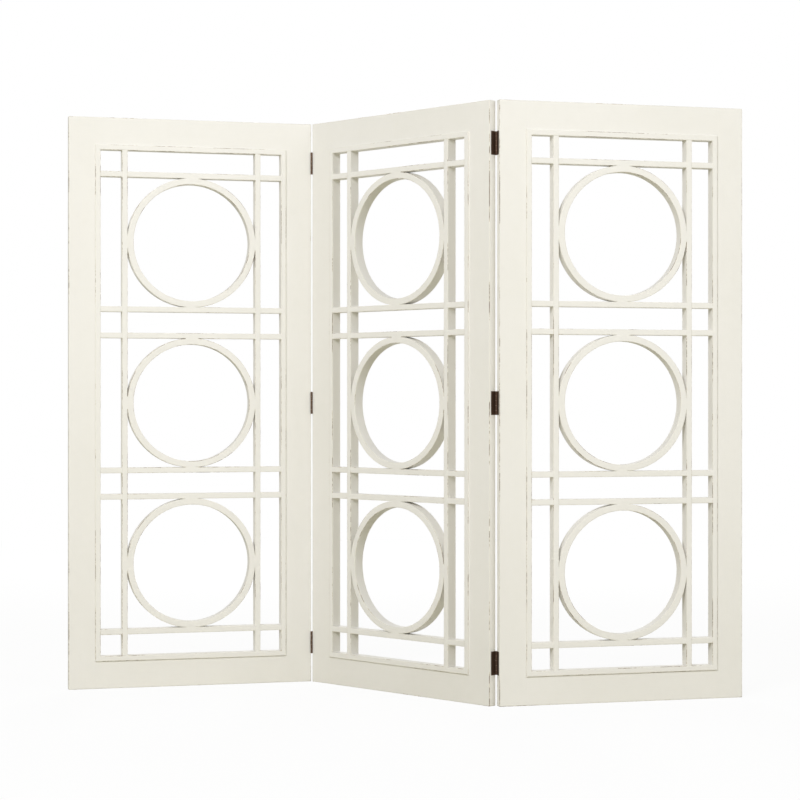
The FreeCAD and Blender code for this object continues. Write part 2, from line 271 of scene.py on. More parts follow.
@dataclass(frozen=True)
class PaintedWood:
    """Antique white paint on wood, brushed on and worn through along the arrises."""

    name: str
    paint: Colour = (0.828, 0.812, 0.778)
    shade: Colour = (0.798, 0.782, 0.738)
    edge_tint: Colour = (0.762, 0.742, 0.665)
    undercoat: Colour = (0.500, 0.430, 0.320)
    bare_wood: Colour = (0.130, 0.078, 0.048)
    wear: float = 0.0           # more of the arris is worn through as this grows
    rough: float = 0.50         # roughness of the paint
    bare_rough: float = 0.25    # what bare wood adds to it
    mottle_rough: float = 0.05
    specular: float = 0.25
    clouds: Pattern = Pattern(2.6, 3.0, ends=(0.32, 0.70))
    mottle: Pattern = Pattern(38.0, 3.0, 0.6, (0.35, 0.75))
    strokes: Pattern = Pattern(1.0, 3.0, 0.6, (0.35, 0.80))
    stroke_pitch: Triple = (9.0, 420.0, 420.0)
    ripple: Pattern = Pattern()
    ripple_pitch: Triple = (2.0, 38.0, 38.0)
    shade_shares: Triple = (0.55, 0.25, 0.20)       # of clouds, mottle and strokes
    edge_ends: Range = (0.2, 1.0)
    edge_share: float = 0.55
    stretches: Pattern = Pattern(7.5, ends=(0.40, 0.66))
    breaks: Pattern = Pattern(60.0, 3.0, 0.65, (0.36, 0.62))
    nibble: Pattern = Pattern(420.0, rough=0.6)
    rub_shares: tuple[float, ...] = (0.55, 0.42, 0.26, 0.16)    # even, stretches, breaks, nibble
    thin_ends: Range = (0.90, 1.02)                 # where the undercoat shows
    bare_ends: Range = (1.02, 1.12)                 # where the wood shows
    height_shares: Triple = (0.30, 0.50, 0.60)      # of strokes, ripple and the coat of paint
    depth: float = 0.00022                          # height of 1, in metres

    def material(self) -> bpy.types.Material:
        """Build the material.

        Returns:
            The finished material.
        """
        shader = Shader(self.name)
        place = shader.place()
        grain = shader.attribute(GRAIN, "Vector")
        arris = shader.attribute(ARRIS, "Fac")
        mottle = shader.mask(place, self.mottle)
        strokes = shader.noise(shader.stretched(grain, self.stroke_pitch), self.strokes)
        ripple = shader.noise(shader.stretched(grain, self.ripple_pitch), self.ripple)
        of_clouds, of_mottle, of_strokes = self.shade_shares
        shading = shader.mask(place, self.clouds) * of_clouds + mottle * of_mottle
        shading = shading + strokes.ramp(*self.strokes.ends) * of_strokes
        colour = shader.blend(shading, self.paint, self.shade)
        colour = shader.blend(arris.ramp(*self.edge_ends) * self.edge_share, colour, self.edge_tint)
        even, of_stretches, of_breaks, of_nibble = self.rub_shares
        rub = (even + self.wear + shader.mask(place, self.stretches) * of_stretches
               + shader.mask(place, self.breaks) * of_breaks)
        reach = arris * rub + shader.noise(place, self.nibble) * of_nibble
        bare = reach.ramp(*self.bare_ends)
        colour = shader.blend(reach.ramp(*self.thin_ends), colour, self.undercoat)
        colour = shader.blend(bare, colour, self.bare_wood)
        roughness = self.rough + bare * self.bare_rough + mottle * self.mottle_rough
        shader.set(Base_Color=colour, Roughness=roughness, Specular_IOR_Level=self.specular)
        of_strokes, of_ripple, of_coat = self.height_shares
        shader.relief(strokes * of_strokes + ripple * of_ripple + (1.0 - bare) * of_coat, self.depth)
        return shader.material


@dataclass(frozen=True)
class DarkBronze:
    """Dark bronze hardware, worn lighter brown on its edges and knuckles, where that lighter colour is
    partly a painted highlight.
    """

    name: str
    body: Colour = (0.100, 0.060, 0.040)
    # worn bronze, made as light as a highlight on the knuckles: partly real wear, partly a painted
    # highlight
    rubbed_and_highlight: Colour = (0.330, 0.225, 0.155)
    rough: float = 0.42
    patch_rough: float = 0.18   # what patches add to the roughness
    rubbed_rough: float = 0.10  # what rubbing takes from it
    metal: float = 0.75
    patches: Pattern = Pattern(260.0, 3.0, 0.6)
    scratches: Pattern = Pattern()
    scratch_pitch: Triple = (900.0, 900.0, 140.0)
    rub_shares: Triple = (0.55, 0.40, 0.25)         # of arrises, patches and scratches
    rub_and_highlight_ends: Range = (0.45, 0.95)
    height_shares: Range = (0.60, 0.30)             # of patches and scratches
    depth: float = 0.00006                          # height of 1, in metres

    def material(self) -> bpy.types.Material:
        """Build the material.

        Returns:
            The finished material.
        """
        shader = Shader(self.name)
        place = shader.place()
        arris = shader.attribute(ARRIS, "Fac")
        patches = shader.noise(place, self.patches)
        scratches = shader.noise(shader.stretched(place, self.scratch_pitch), self.scratches)
        of_arrises, of_patches, of_scratches = self.rub_shares
        # mask of the worn colour on edges, patches and scratches, which is partly a painted highlight
        rub = (arris * of_arrises + patches * of_patches + scratches * of_scratches).ramp(*self.rub_and_highlight_ends)
        shader.set(Base_Color=shader.blend(rub, self.body, self.rubbed_and_highlight), Metallic=self.metal,
                   Roughness=self.rough + patches * self.patch_rough - rub * self.rubbed_rough)
        of_patches, of_scratches = self.height_shares
        shader.relief(patches * of_patches + scratches * of_scratches, self.depth)
        return shader.material


class Finish(Enum):
    """Finishes of the divider, each named for its material slot."""

    FRAME = PaintedWood("frame_paint")
    LINING = PaintedWood("lining_paint", wear=-0.02)
    BAR = PaintedWood("bar_paint", wear=-0.06)
    RING = PaintedWood("ring_paint", wear=-0.07)
    LEAF = DarkBronze("hinge_bronze")
    PIN = DarkBronze("hinge_pin_steel", metal=0.9, rough=0.34)
    SCREW = DarkBronze("screw_bronze", rough=0.38)


# Objects and meshes

def add_object(name: str, data: bpy.types.ID) -> bpy.types.Object:
    """Add an object to the scene.

    Args:
        name: Name of the object.
        data: Its mesh, lamp or camera.

    Returns:
        The object.
    """
    made = bpy.data.objects.new(name, data)
    bpy.context.scene.collection.objects.link(made)
    return made


class Work:
    """A piece under construction, in the frame of the panel that carries it."""

    def __init__(self, name: str, material: bpy.types.Material, slot: str, grain_shift: Vector) -> None:
        """Start an empty piece.

        Args:
            name: Name of the CAD node that the piece stands for.
            material: Material of the piece.
            slot: Name of the material slot; not used.
            grain_shift: Start of the piece's own pattern, in metres.
        """
        self.name = name
        self.material = material
        self.slot = slot
        self.grain_shift = grain_shift
        self.mesh = bmesh.new()
        self.arris_layer = self.mesh.loops.layers.float.new(ARRIS)
        self.grain_layer = self.mesh.loops.layers.float_vector.new(GRAIN)
        self.eased_layer = self.mesh.faces.layers.int.new("eased")

    def block(self, x_range: Range, y_range: Range, z_range: Range) -> None:
        """Add a rectangular block.

        Args:
            x_range: Its two places on X, in any order.
            y_range: Its two places on Y.
            z_range: Its two places on Z.
        """
        ranges = (x_range, y_range, z_range)
        size = Vector([abs(high - low) for low, high in ranges])
        middle = Vector([(low + high) / 2 for low, high in ranges])
        bmesh.ops.create_cube(self.mesh, size=1.0,
                              matrix=Matrix.Translation(middle) @ Matrix.Diagonal((*size, 1.0)))

    def cut(self, places: Iterable[float], axis: Vector) -> None:
        """Cut loops square to an axis.

        Args:
            places: Places of the loops along the axis.
            axis: Unit vector.
        """
        for place in places:
            everything = [*self.mesh.verts, *self.mesh.edges, *self.mesh.faces]
            bmesh.ops.bisect_plane(self.mesh, geom=everything, plane_co=axis * place, plane_no=axis,
                                   dist=TOUCH)

    def push(self, faces: list[BMFace], shift: Vector, of_solid: bool) -> None:
        """Extrude faces and move them.

        Args:
            faces: Faces to extrude.
            shift: Vector that they move by.
            of_solid: Whether they are part of a closed skin, so that none stays behind inside it.
        """
        edges = {edge for face in faces for edge in face.edges} if of_solid else set()
        made = bmesh.ops.extrude_face_region(self.mesh, geom=[*faces, *edges])["geom"]
        verts = [item for item in made if isinstance(item, BMVert)]
        bmesh.ops.translate(self.mesh, verts=verts, vec=shift)

    def spin(self, outline: Sequence[Point], closed: bool, steps: int,
             place: Matrix) -> None:
        """Add a turned form.

        Args:
            outline: Points of its section, as distance from the axis and place along it.
            closed: Whether the last point joins the first.
            steps: Steps round the axis.
            place: Place of the form, whose axis is Z.
        """
        old = set(self.mesh.verts)
        chain = [self.mesh.verts.new((radius, 0.0, along)) for radius, along in outline]
        ends = [*chain[1:], chain[0]] if closed else chain[1:]
        edges = [self.mesh.edges.new(pair) for pair in zip(chain, ends)]
        bmesh.ops.spin(self.mesh, geom=[*chain, *edges], cent=ORIGIN, axis=Z_AXIS,
                       angle=2 * math.pi, steps=steps, use_merge=True)
        made = [vert for vert in self.mesh.verts if vert not in old]
        bmesh.ops.remove_doubles(self.mesh, verts=made, dist=MERGE)
        made = [vert for vert in self.mesh.verts if vert not in old]
        bmesh.ops.transform(self.mesh, matrix=place, verts=made)

    def bevel(self, width: float, test: EdgeTest, segments: int) -> list[BMFace]:
        """Cut off the edges that pass a test.

        Args:
            width: Width that is taken off each side.
            test: Says whether an edge is cut off.
            segments: Steps of the rounding, or 1 for a flat.

        Returns:
            The new faces.
        """
        self.mesh.normal_update()
        edges = [edge for edge in self.mesh.edges if len(edge.link_faces) == 2
                 and test((edge.verts[0].co + edge.verts[1].co) / 2, edge)]
        return bmesh.ops.bevel(self.mesh, geom=edges, offset=width, offset_type="OFFSET",
                               affect="EDGES", segments=segments, profile=0.5, material=-1,
                               clamp_overlap=True)["faces"]

    def ease(self, width: float, test: EdgeTest, segments: int = 3) -> None:
        """Round arrises and write their attribute: 1 in a rounding, less at its shoulders.

        Args:
            width: Width that is taken off each side.
            test: Says whether an edge is an exposed arris.
            segments: Steps of the rounding.
        """
        for face in self.bevel(width, test, segments):
            face[self.eased_layer] = 1
        for face in self.mesh.faces:
            for loop in face.loops:
                corner_faces = loop.vert.link_faces
                rounded = sum(1 for other in corner_faces if other[self.eased_layer] == 1)
                near = (loop.edge, loop.link_loop_prev.edge)
                borders = any(other[self.eased_layer] == 1 for edge in near for other in edge.link_faces)
                if rounded == len(corner_faces):
                    loop[self.arris_layer] = 1.0
                else:
                    loop[self.arris_layer] = SHOULDER if borders else 0.0

    def crease(self, width: float, in_joint: Callable[[Vector], bool],
               shows: Callable[[Vector, Vector], bool]) -> None:
        """Take a little off the edges of a joint, so that its line shows through the paint.

        Args:
            width: Width that is taken off each side.
            in_joint: Given a face's normal, says whether it lies in the joint.
            shows: Given an edge's middle and the other face's normal, says whether it shows.
        """
        def on_joint(middle: Vector, edge: BMEdge) -> bool:
            """Whether one face of an edge lies in the joint and the edge shows."""
            others = [face.normal for face in edge.link_faces if not in_joint(face.normal)]
            return len(others) == 1 and shows(middle, others[0])

        self.bevel(width, on_joint, segments=1)

    def mark_grain(self, rule: GrainRule) -> None:
        """Write the grain attribute.

        Args:
            rule: Given the middle of a face and a corner, gives the corner's place along, across
                and through the piece.
        """
        for face in self.mesh.faces:
            middle = face.calc_center_median()
            for loop in face.loops:
                loop[self.grain_layer] = rule(middle, loop.vert.co) + self.grain_shift

    def finish_on(self, body: str, place: Matrix) -> None:
        """Close the piece, set it in the shared frame and let it ride in its CAD node's stead.

        Args:
            body: Body that the piece rides on.
            place: Place of that body's panel in the shared frame.
        """
        bmesh.ops.remove_doubles(self.mesh, verts=self.mesh.verts, dist=MERGE)
        bmesh.ops.recalc_face_normals(self.mesh, faces=self.mesh.faces)
        self.mesh.transform(place)
        data = bpy.data.meshes.new(self.name)
        self.mesh.to_mesh(data)
        self.mesh.free()
        data.shade_smooth()
        data.set_sharp_from_angle(angle=SMOOTH_BELOW)
        data.materials.append(self.material)
        made = add_object(f"{self.name}_shown", data)
        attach(made, body)
        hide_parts(self.name)
        log.info("%s: %d faces, rides on %s", made.name, len(data.polygons), body)


def along_x(_: Vector, corner: Vector) -> Vector:
    """Grain rule of a piece that lies along X."""
    return corner.copy()


def along_z(_: Vector, corner: Vector) -> Vector:
    """Grain rule of a piece that stands along Z."""
    return Vector((corner.z, corner.x, corner.y))


def is_at(value: float, *targets: float) -> bool:
    """Whether a place is one of several targets."""
    return any(abs(value - target) < SAME for target in targets)


def banded_outline(across: Range, through: Range, near: float) -> list[Point]:
    """Outline of a rectangle with a point on both sides of each corner.

    Args:
        across: Its two places on the first axis.
        through: Its two places on the second axis.
        near: Distance of those points from the corners.

    Returns:
        The points in order.
    """
    (left, right), (low, high) = across, through
    level = [left, left + near, right - near, right]
    upright = [low + near, high - near]
    return ([(place, low) for place in level] + [(right, place) for place in upright]
            + [(place, high) for place in reversed(level)]
            + [(left, place) for place in reversed(upright)])


# Sub-assemblies

@dataclass(frozen=True)
class Fretwork:
    """Open fretwork: two uprights, six crossbars and three rings per panel."""

    bar: float = 0.017
    side_gap: float = 0.067     # between an upright and the lining
    end_gap: float = 0.066      # between the first crossbar and the lining
    pair_gap: float = 0.065     # between the crossbars of a pair
    depth: float = 0.034        # of bars, rings and lining
    ring_diameter: float = 0.406
    ring_band: float = 0.0195
    let_in: float = 0.001       # how far a ring is sunk into each bar round it
    rings: int = 3
    ease: float = 0.0010
    band: float = 0.0028        # worn paint reaches this far from an arris
    ring_steps: int = 128

    @property
    def field(self) -> float:
        """Clear height and width between the bars around a ring."""
        return self.ring_diameter - 2 * self.let_in

    @property
    def half_opening(self) -> float:
        """Half the width of the opening in the lining."""
        return self.field / 2 + self.bar + self.side_gap

    @property
    def opening_height(self) -> float:
        """Height of the opening in the lining."""
        gaps = 2 * self.end_gap + (self.rings - 1) * self.pair_gap
        return gaps + self.rings * (self.field + 2 * self.bar)

    @property
    def upright_place(self) -> float:
        """Distance from the panel's middle to the middle of an upright."""
        return self.field / 2 + self.bar / 2

    def crossbar_heights(self, bottom: float) -> list[float]:
        """Middle height of each crossbar.

        Args:
            bottom: Height of the opening's lower edge.

        Returns:
            Heights from the bottom up.
        """
        heights = []
        lower = bottom + self.end_gap
        for _ in range(self.rings):
            heights += [lower + self.bar / 2, lower + self.bar + self.field + self.bar / 2]
            lower += 2 * self.bar + self.field + self.pair_gap
        return heights

    def ring_heights(self, bottom: float) -> list[float]:
        """Middle height of each ring, from the bottom up, for an opening that starts at a height."""
        bars = self.crossbar_heights(bottom)
        return [(low + high) / 2 for low, high in zip(bars[::2], bars[1::2])]

    def seat_stations(self) -> list[Point]:
        """Points of a ring's seat in a bar.

        Returns:
            Distance from the seat's middle, and depth of the seat there.
        """
        radius = self.ring_diameter / 2
        reach = math.acos(self.field / 2 / radius)
        step = 2 * math.pi / self.ring_steps
        count = int(reach / step)
        angles = [-reach, *[step * index for index in range(-count, count + 1)], reach]
        return [(radius * math.sin(angle), max(0.0, radius * math.cos(angle) - self.field / 2))
                for angle in angles]

    def lay_bar(self, work: Work, span: Range, crossings: Sequence[float],
                seats: Sequence[tuple[float, Side]], lapped: Face) -> None:
        """Make a straight bar along X about the origin, half-lapped, with seats and eased arrises.

        The bar starts as one edge at the end of its middle plane. It is drawn out station by
        station, then raised to its full depth on one face and, but for the laps, on the other.

        Args:
            work: Piece to add it to.
            span: Its two ends on X.
            crossings: Middles of the laps.
            seats: Middle of each ring's seat, and the side of Z that it is on.
            lapped: Face that the laps are cut from.
        """
        half = self.bar / 2
        stations = {span[0]: (0.0, 0.0), span[1]: (0.0, 0.0)}
        for crossing in crossings:
            stations[crossing - half] = stations[crossing + half] = (0.0, 0.0)
        for middle, side in seats:
            for offset, depth in self.seat_stations():
                stations[middle + offset] = (depth, 0.0) if side is Side.LEFT else (0.0, depth)
        mesh = work.mesh
        edge = None
        for place in sorted(stations):
            low, high = stations[place]
            ends = (Vector((place, 0.0, low - half)), Vector((place, 0.0, half - high)))
            if edge is None:
                edge = mesh.edges.new([mesh.verts.new(end) for end in ends])
                continue
            drawn = bmesh.ops.extrude_edge_only(mesh, edges=[edge])["geom"]
            edge = next(item for item in drawn if isinstance(item, BMEdge))
            for vert in edge.verts:
                vert.co = ends[0] if vert.co.z < 0 else ends[1]
        rise = Y_AXIS * (lapped.value * self.depth / 2)
        work.push(list(mesh.faces), -rise, of_solid=False)
        standing = [cell for cell in mesh.faces
                    if all(is_at(vert.co.y, 0.0) for vert in cell.verts)
                    and not any(abs(cell.calc_center_median().x - place) < half
                                for place in crossings)]
        work.push(standing, rise, of_solid=True)
        bmesh.ops.recalc_face_normals(mesh, faces=mesh.faces)
        self.ease_bar(work, crossings, seats)

    def ease_bar(self, work: Work, crossings: Sequence[float],
                 seats: Sequence[tuple[float, Side]]) -> None:
        """Cut the loops beside a bar's arrises and round those that are exposed.

        Args:
            work: The bar.
            crossings: Middles of the laps.
            seats: Middle of each ring's seat and its side.
        """
        half, near = self.bar / 2, self.ease + self.band
        work.cut([near - half, half - near], Z_AXIS)
        work.cut([near - self.depth / 2, self.depth / 2 - near], Y_AXIS)
        reach = self.seat_stations()[-1][0]

        def exposed(middle: Vector, _: BMEdge) -> bool:
            """Whether an edge is a long arris, clear of the laps and the seats."""
            taken = (any(abs(middle.x - place) < half for place in crossings)
                     or any(abs(middle.x - place) < reach and middle.z * side.value > 0
                            for place, side in seats))
            return is_at(abs(middle.y), self.depth / 2) and is_at(abs(middle.z), half) and not taken

        work.ease(self.ease, exposed)

    def make_ring(self, work: Work, height: float) -> None:
        """Add one ring, turned from its section.

        Args:
            work: Piece to add it to.
            height: Middle height of the ring.
        """
        outer, half = self.ring_diameter / 2, self.depth / 2
        section = banded_outline((outer - self.ring_band, outer), (-half, half), self.ease + self.band)
        lying = Matrix.Translation(Z_AXIS * height) @ Matrix.Rotation(QUARTER_TURN, 4, "X")
        work.spin(section, closed=True, steps=self.ring_steps, place=lying)


@dataclass(frozen=True)
class Lining:
    """Mitred lining around the opening, proud of both faces of the frame."""

    width: float = 0.016
    ease: float = 0.0010
    band: float = 0.0028


@dataclass(frozen=True)
class Boards:
    """Stiles and rails of a panel's frame."""

    stile: float = 0.082
    rail: float = 0.085
    thickness: float = 0.026
    ease: float = 0.0013
    band: float = 0.0030
    joint: float = 0.00015      # width of a joint's line on each side


@dataclass(frozen=True)
class Hinges:
    """Butt hinges of one fold: two leaves about each pin."""

    per_fold: int = 3
    length: float = 0.070
    inset: float = 0.125        # from a panel's end to the middle of the nearest hinge
    leaf: float = 0.0015        # thickness
    setback: float = 0.007      # from a leaf's far edge to the far face of its stile
    fit: float = 0.0001         # of a leaf in its gain
    knuckle: float = 0.006      # diameter
    knuckles: int = 5
    knuckle_gap: float = 0.0002
    swing_gap: float = 0.0003   # between a leaf and the other leaf's knuckles
    pin: float = 0.003          # diameter
    panel_gap: float = 0.0015
    offset: float = 0.0032      # from the face of the frame to the middle of the pin
    screws: int = 2
    screw_pitch: float = 0.042
    screw_stagger: float = 0.005
    screw_head: float = 0.006
    screw_shank: float = 0.003
    screw_length: float = 0.015
    point_share: float = 0.8    # of that length, at which the point starts
    recess_width: float = 0.0008
    recess_length: float = 0.0036
    recess_depth: float = 0.0007
    pin_dome: float = 0.0005
    dome_steps: int = 4
    rim: float = 0.0004         # rounding of a knuckle's ends
    rim_band: float = 0.0006    # from a knuckle's end to the loop beside its rim
    running_fit: float = 0.00005
    steps: int = 32
    board: float = Boards.thickness     # of the stiles

    def heights(self, panel_height: float) -> list[float]:
        """Middle height of each hinge, from the bottom up, on a panel of the given height."""
        pitch = (panel_height - 2 * self.inset) / (self.per_fold - 1)
        return [self.inset + pitch * index for index in range(self.per_fold)]

    @property
    def reach(self) -> float:
        """How far a leaf goes across the edge of its stile."""
        return self.board - self.setback

    def knuckle_ranges(self, first: int) -> list[Range]:
        """Places of every second knuckle.

        Args:
            first: Number of the lowest of them.

        Returns:
            Their height ranges about the hinge's middle.
        """
        pitch = (self.length + self.knuckle_gap) / self.knuckles
        low = -self.length / 2
        return [(low + pitch * index, low + pitch * (index + 1) - self.knuckle_gap)
                for index in range(first, self.knuckles, 2)]

    def screw_places(self) -> list[Point]:
        """Places of a leaf's screws.

        Returns:
            Distance of each across from the pin, and its height about the hinge's middle.
        """
        across = self.offset + self.reach / 2
        first = -self.screw_pitch * (self.screws - 1) / 2
        return [(across + self.screw_stagger / 2 * (1 if index % 2 else -1),
                 first + self.screw_pitch * index) for index in range(self.screws)]

    def add_leaf(self, work: Work, spot: Vector, side: Side, face: Face, first: int) -> None:
        """Add one leaf: a plate with countersunk holes, and every second knuckle.

        Args:
            work: Piece to add it to.
            spot: Middle of the pin.
            side: Edge of the panel that the leaf lies in.
            face: Face that the pin stands on.
            first: Number of its lowest knuckle.
        """
        knuckles = self.knuckle_ranges(first)
        bore = self.pin / 2 + (self.running_fit if first else 0.0)
        outer = self.knuckle / 2
        for low, high in knuckles:
            section = banded_outline((bore, outer), (low, high), self.rim_band)
            work.spin(section, closed=True, steps=self.steps, place=Matrix.Translation(spot))
        far = self.offset + self.reach
        notch, tab = outer + self.swing_gap, (bore + outer) / 2 - self.rim
        end = self.length / 2
        outline = [(far, -end)]
        reached = -end
        for low, high in knuckles:
            outline += [(notch, reached), (notch, low)] if low - reached > TOUCH else []
            outline += [(tab, low), (tab, high)]
            reached = high
        outline += [(notch, reached), (notch, end)] if end - reached > TOUCH else []
        outline.append((far, end))
        loops = []
        for depth, hole in ((0.0, self.screw_head / 2), (self.leaf, self.screw_shank / 2)):
            plane = spot.x - side.value * (self.panel_gap / 2 + depth)
            place = Matrix(((0.0, 0.0, 1.0, plane), (-face.value, 0.0, 0.0, spot.y),
                            (0.0, 1.0, 0.0, spot.z), (0.0, 0.0, 0.0, 1.0)))
            loops.append(self.plate_sheet(work, outline, hole, place))
        for near_loop, far_loop in zip(*loops):
            bmesh.ops.bridge_loops(work.mesh, edges=[*near_loop, *far_loop])

    def plate_sheet(self, work: Work, outline: Sequence[Point], hole: float,
                    place: Matrix) -> list[list[BMEdge]]:
        """Add one side of a leaf's plate, with its screw holes.

        Args:
            work: Piece to add it to.
            outline: Corners of the plate: distance across from the pin, and height.
            hole: Radius of the holes on this side.
            place: Place of the sheet.

        Returns:
            Edges of the outline, then of each hole.
        """
        mesh = work.mesh
        corners = [mesh.verts.new(place @ Vector((*corner, 0.0))) for corner in outline]
        loops = [[mesh.edges.new(pair) for pair in zip(corners, [*corners[1:], corners[0]])]]
        for across, height in self.screw_places():
            circle = bmesh.ops.create_circle(mesh, cap_ends=False, radius=hole, segments=self.steps,
                                             matrix=place @ Matrix.Translation((across, height, 0.0)))
            loops.append(list({edge for vert in circle["verts"] for edge in vert.link_edges}))
        bmesh.ops.triangle_fill(mesh, use_beauty=True, use_dissolve=False,
                                edges=[edge for loop in loops for edge in loop])
        return loops

    def soften(self, work: Work) -> None:
        """Round the rims of the knuckles.

        Args:
            work: The leaves of one edge of a panel.
        """
        facet = math.pi * self.knuckle / self.steps

        def rim(_: Vector, edge: BMEdge) -> bool:
            """Whether an edge is one facet of a knuckle's rim."""
            level, upright = sorted(abs(face.normal.z) for face in edge.link_faces)
            return level < 1 - ALONG and upright > ALONG and edge.calc_length() < facet + TOUCH

        work.ease(self.rim, rim)

    def add_screws(self, work: Work, spot: Vector, side: Side, face: Face,
                   chance: random.Random) -> None:
        """Add the screws of one leaf, with countersunk heads and cross recesses.

        Args:
            work: Piece to add them to.
            spot: Middle of the pin.
            side: Edge of the panel that they are driven into.
            face: Face that the pin stands on.
            chance: Source of the angle that each screw was turned to.
        """
        head, shank, length = self.screw_head / 2, self.screw_shank / 2, self.screw_length
        profile = [(head, 0.0), (shank, head - shank), (shank, length * self.point_share), (0.0, length)]
        for across, height in self.screw_places():
            centre = Vector((spot.x - side.value * self.panel_gap / 2,
                             spot.y - face.value * across, spot.z + height))
            turn = Matrix.Rotation(-QUARTER_TURN * side.value, 4, "Y")
            driven = Matrix.Rotation(chance.uniform(0.0, QUARTER_TURN), 4, "Z")
            old = set(work.mesh.verts)
            work.spin(profile, closed=False, steps=self.steps, place=Matrix.Identity(4))
            self.close_head(work)
            bmesh.ops.transform(work.mesh, matrix=Matrix.Translation(centre) @ turn @ driven,
                                verts=[vert for vert in work.mesh.verts if vert not in old])

    def close_head(self, work: Work) -> None:
        """Close the head of a screw that stands at the origin, and sink its cross recess.

        Args:
            work: The screws.
        """
        mesh, width, length = work.mesh, self.recess_width / 2, self.recess_length / 2
        rim = [edge for edge in mesh.edges if edge.is_boundary]
        top = set(bmesh.ops.holes_fill(mesh, edges=rim, sides=0)["faces"])
        for axis in (X_AXIS, Y_AXIS):
            for place in (-length, -width, width, length):
                around = {item for face in top for item in (*face.verts, *face.edges)}
                cut = bmesh.ops.bisect_plane(mesh, geom=[*top, *around], plane_co=axis * place,
                                             plane_no=axis, dist=MERGE)
                top = {item for item in cut["geom"] if isinstance(item, BMFace)}
        sunk = []
        for cell in top:
            places = sorted(abs(place) for place in cell.calc_center_median().xy)
            if places[0] < width and places[1] < length:
                sunk.append(cell)
        work.push(sunk, Z_AXIS * self.recess_depth, of_solid=True)


